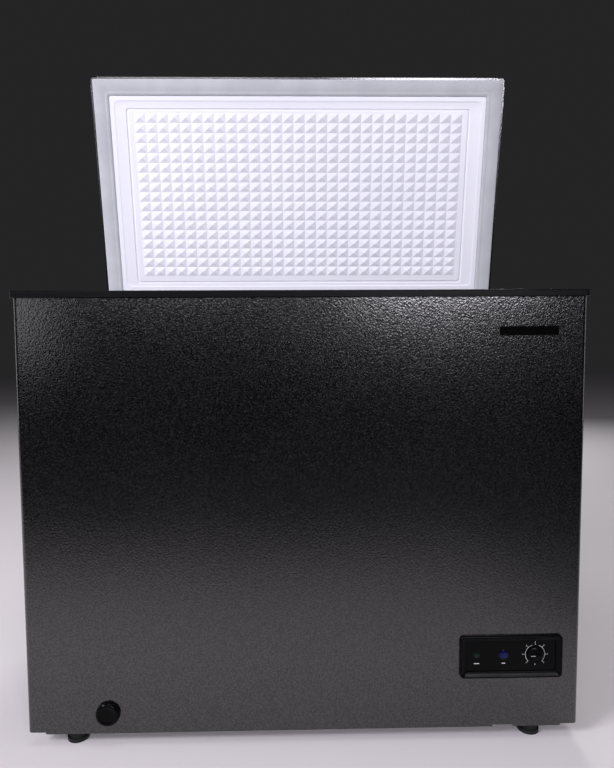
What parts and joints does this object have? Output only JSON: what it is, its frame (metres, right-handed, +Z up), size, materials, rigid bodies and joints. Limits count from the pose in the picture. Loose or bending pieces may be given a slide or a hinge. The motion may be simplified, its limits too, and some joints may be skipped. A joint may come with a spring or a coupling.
{
  "type": "chest freezer",
  "caption": "Free-standing chest freezer with a counterbalanced top lid on rear hinges, a stepped tank over a machine bay, a hanging wire basket, a front drain and a small control panel.",
  "frame": {"origin": "on the floor, under the middle of the freezer's box with its lid open", "axes": "+Z up, -Y towards the person in front, +X to that person's right, where the control panel is"},
  "size_m": [0.9474, 0.5996, 1.2957],
  "materials": {
    "cabinet_paint": "dark grey textured paint, satin",
    "galvanised_steel": "bare galvanised sheet",
    "insulation_foam": "closed-cell foam, sealed in",
    "tank_sheet": "stucco-embossed sheet",
    "black_plastic": "fine-grained black plastic",
    "gloss_black": "smooth black plastic",
    "green_lens": "translucent green lens, unlit",
    "blue_lens": "translucent blue lens, unlit",
    "brass": "turned brass",
    "white_plastic": "white plastic",
    "copper": "drawn copper tube",
    "aluminium_tube": "drawn aluminium tube",
    "black_rubber": "black rubber",
    "foot_plastic": "black moulded plastic",
    "black_enamel": "black enamel",
    "zinc_steel": "zinc-plated steel",
    "cable_sleeve": "black cable sleeve",
    "hinge_paint": "dark paint on steel",
    "bright_steel": "bright steel",
    "white_liner": "white vacuum-formed sheet",
    "grey_gasket": "soft pale grey vinyl",
    "basket_coating": "white plastic coating over steel wire"
  },
  "bodies": {
    "cabinet": {"outer_wrap": "cabinet_paint", "front_rail": "cabinet_paint", "rear_rail": "cabinet_paint", "back_panel": "galvanised_steel", "bottom_pan": "galvanised_steel", "compressor_tray": "galvanised_steel", "cabinet_foam": "insulation_foam", "inner_tank": "tank_sheet", "top_frame": "black_plastic", "control_bezel": "black_plastic", "control_box": "black_plastic", "relay_cover": "black_plastic", "rear_grille": "black_plastic", "cord_gland": "black_plastic", "control_fascia": "gloss_black", "badge_plate": "gloss_black", "power_lamp": "green_lens", "run_lamp": "blue_lens", "thermostat_body": "white_plastic", "sensing_tube": "copper", "suction_line": "copper", "discharge_line": "copper", "capillary_tube": "copper", "filter_drier": "copper", "condenser_tube": "copper", "evaporator_tube": "aluminium_tube", "drain_tube": "white_plastic", "compressor_mounts": "black_rubber", "foot_front_left": "foot_plastic", "foot_front_right": "foot_plastic", "foot_rear_left": "foot_plastic", "foot_rear_right": "foot_plastic", "compressor": "black_enamel", "compressor_studs": "zinc_steel", "wiring_harness": "cable_sleeve", "grille_screws": "zinc_steel", "hinge_base_left": "hinge_paint", "hinge_base_right": "hinge_paint", "hinge_pins": "bright_steel", "hinge_springs": "bright_steel", "hinge_screws_cabinet": "zinc_steel"},
    "lid": {"lid_shell": "cabinet_paint", "lid_foam": "insulation_foam", "lid_handle": "black_plastic", "lid_corners": "black_plastic", "hinge_leaf_left": "hinge_paint", "hinge_leaf_right": "hinge_paint", "hinge_screws_lid": "zinc_steel", "lid_liner": "white_liner", "lid_gasket": "grey_gasket"},
    "thermostat": {"thermostat_knob": "black_plastic", "thermostat_shaft": "brass"},
    "drain_cap": {"drain_cap": "black_plastic"},
    "tank_stopper": {"tank_stopper": "black_rubber"},
    "basket": {"basket_frame": "basket_coating", "basket_floor": "basket_coating", "basket_front": "basket_coating", "basket_back": "basket_coating", "basket_left": "basket_coating", "basket_right": "basket_coating"}
  },
  "joints": [
    {"name": "lid_hinge", "type": "hinge", "parent": "cabinet", "child": "lid", "pos_m": [0, 0.2242, 0.77], "axis": [1, 0, 0], "range_deg": [0, 80]},
    {"name": "thermostat_turn", "type": "hinge", "parent": "cabinet", "child": "thermostat", "pos_m": [0.392, -0.2918, 0.149], "axis": [0, -1, 0], "range_deg": [-150, 150]},
    {"name": "drain_cap_pull", "type": "slide", "parent": "cabinet", "child": "drain_cap", "axis": [0, -1, 0], "range_m": [0, 0.03]},
    {"name": "stopper_lift", "type": "slide", "parent": "cabinet", "child": "tank_stopper", "axis": [0, 0, 1], "range_m": [0, 0.025]},
    {"name": "basket_slide", "type": "slide", "parent": "cabinet", "child": "basket", "axis": [1, 0, 0], "range_m": [-0.04, 0.49]}
  ]
}
